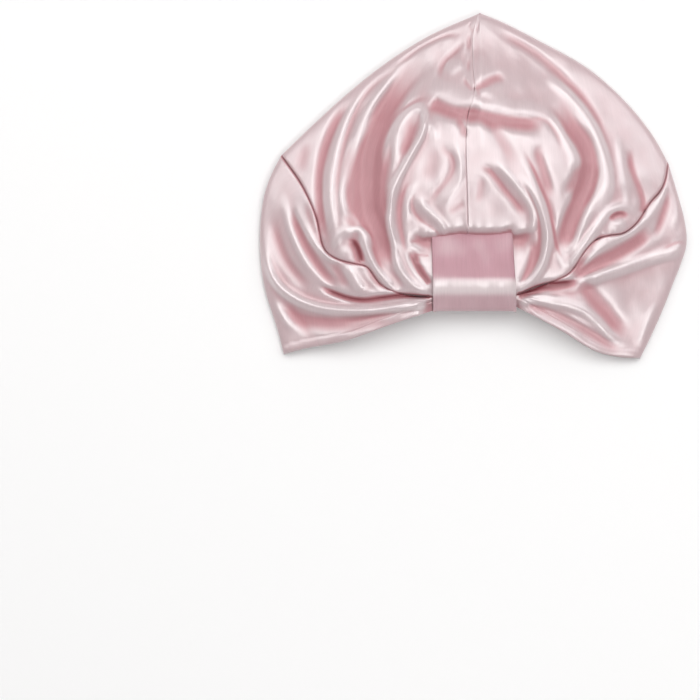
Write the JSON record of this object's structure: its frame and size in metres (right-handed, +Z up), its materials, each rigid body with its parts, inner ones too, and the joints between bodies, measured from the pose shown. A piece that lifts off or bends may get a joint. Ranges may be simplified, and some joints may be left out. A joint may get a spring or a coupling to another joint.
{
  "type": "sleep bonnet",
  "caption": "Satin sleep bonnet that lies flat, with a seamed crown, wrapped side panels, a front pinched by a loop of cloth and a gathered elastic casing at the nape.",
  "frame": {"origin": "on the surface that the bonnet lies on, under the middle of its box", "axes": "+X to the wearer's left seen from the front, across the bonnet; +Y from the mouth to the crown's tip; +Z up, out of the bonnet's front"},
  "size_m": [0.3008, 0.2432, 0.0432],
  "materials": {
    "satin": "smooth pale pink satin with a soft pearly sheen",
    "satin_band": "the same satin on its duller, deeper pink side"
  },
  "bodies": {
    "root": {"crown_left": "satin", "crown_right": "satin", "wrap_left": "satin", "wrap_right": "satin", "front_loop": "satin_band", "nape_casing": "satin"}
  },
  "joints": []
}
